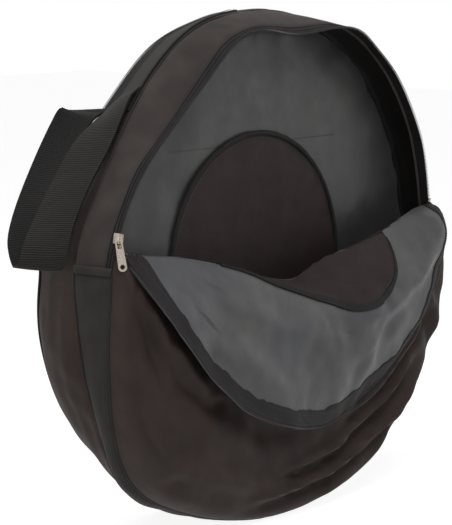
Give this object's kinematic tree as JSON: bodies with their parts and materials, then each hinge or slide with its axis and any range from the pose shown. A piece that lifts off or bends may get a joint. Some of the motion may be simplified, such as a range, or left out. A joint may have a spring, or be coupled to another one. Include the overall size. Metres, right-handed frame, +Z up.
{
  "type": "bike wheel bag",
  "caption": "Round soft wheel bag with front and rear zipped compartments and a webbing handle, standing upright, its front panel unzipped and folded down.",
  "frame": {"origin": "on the floor under the middle of the bag's round outline, 9 mm in front of the divider's middle plane", "axes": "+Z up, -Y out of the open front, +X to the right seen from the front"},
  "size_m": [0.6457, 0.233, 0.5989],
  "materials": {
    "shell_cloth": "brown-black woven polyester, satin sheen",
    "band_cloth": "dark grey woven polyester",
    "flap_lining": "grey coated polyester lining, soft sheen",
    "divider_lining": "dark grey polyester lining",
    "hub_patch_cloth": "brown-black heavy woven polyester",
    "binding": "black grosgrain edge binding",
    "zip_tape": "black woven zip tape",
    "zip_coil": "black nylon coil",
    "piping": "black cloth-covered piping",
    "webbing": "black ribbed polypropylene webbing",
    "thread": "black polyester thread",
    "zip_metal": "satin nickel-plated zinc"
  },
  "bodies": {
    "bag": {"front_zip_gusset": "shell_cloth", "rear_zip_gusset": "shell_cloth", "front_lower_gusset": "band_cloth", "rear_lower_gusset": "band_cloth", "front_piping": "piping", "rear_piping": "piping", "middle_seam_piping": "piping", "divider_panel": "divider_lining", "divider_front_hub_patch": "hub_patch_cloth", "divider_rear_hub_patch": "hub_patch_cloth", "divider_front_patch_binding": "binding", "divider_rear_patch_binding": "binding", "front_panel_lower": "shell_cloth", "front_panel_hub_patch": "hub_patch_cloth", "front_panel_patch_binding": "binding", "rear_panel_lower": "shell_cloth", "rear_panel_hub_patch": "hub_patch_cloth", "rear_panel_patch_binding": "binding", "front_zip_tape": "zip_tape", "front_zip_coil": "zip_coil", "front_left_zip_stop": "zip_metal", "front_right_zip_stop": "zip_metal", "rear_zip_tape": "zip_tape", "rear_zip_coil": "zip_coil", "rear_left_zip_stop": "zip_metal", "rear_right_zip_stop": "zip_metal", "carry_webbing": "webbing", "lower_bartack": "thread", "upper_bartack": "thread"},
    "front_flap": {"front_flap": "flap_lining", "flap_zip_tape": "zip_tape", "flap_zip_coil": "zip_coil", "flap_hub_patch": "hub_patch_cloth", "flap_patch_binding": "binding"},
    "rear_flap": {"rear_flap": "shell_cloth", "rear_flap_zip_tape": "zip_tape", "rear_flap_zip_coil": "zip_coil", "rear_flap_hub_patch": "hub_patch_cloth", "rear_flap_patch_binding": "binding"},
    "front_slider": {"front_zip_slider": "zip_metal"},
    "front_tab": {"front_pull_tab": "zip_metal"},
    "rear_slider": {"rear_zip_slider": "zip_metal"},
    "rear_tab": {"rear_pull_tab": "zip_metal"},
    "handle": {"handle_loop": "webbing"}
  },
  "joints": [
    {"name": "front_flap_hinge", "type": "hinge", "parent": "bag", "child": "front_flap", "pos_m": [0, -0.062, 0.34873], "axis": [-1, 0, 0], "range_deg": [0, 155]},
    {"name": "rear_flap_hinge", "type": "hinge", "parent": "bag", "child": "rear_flap", "pos_m": [0, 0.0806, 0.34873], "axis": [-1, 0, 0], "range_deg": [0, 155]},
    {"name": "front_slider_run", "type": "hinge", "parent": "bag", "child": "front_slider", "pos_m": [0, -0.062, 0.2975], "axis": [0, 1, 0], "range_deg": [0, 155.92]},
    {"name": "front_pull_swing", "type": "hinge", "parent": "front_slider", "child": "front_tab", "pos_m": [-0.29349, -0.06864, 0.35841], "axis": [-0.7223, 0.6777, -0.1379], "range_deg": [0, 140]},
    {"name": "rear_slider_run", "type": "hinge", "parent": "bag", "child": "rear_slider", "pos_m": [0, 0.065, 0.2975], "axis": [0, 1, 0], "range_deg": [-97.96, 57.96]},
    {"name": "rear_pull_swing", "type": "hinge", "parent": "rear_slider", "child": "rear_tab", "pos_m": [0.10373, 0.07164, 0.57767], "axis": [0.2418, -0.7071, 0.6645], "range_deg": [0, 165]},
    {"name": "handle_swing", "type": "hinge", "parent": "bag", "child": "handle", "pos_m": [-0.2007, -0.0067, 0.49132], "axis": [0, 1, 0], "range_deg": [0, 100]}
  ]
}
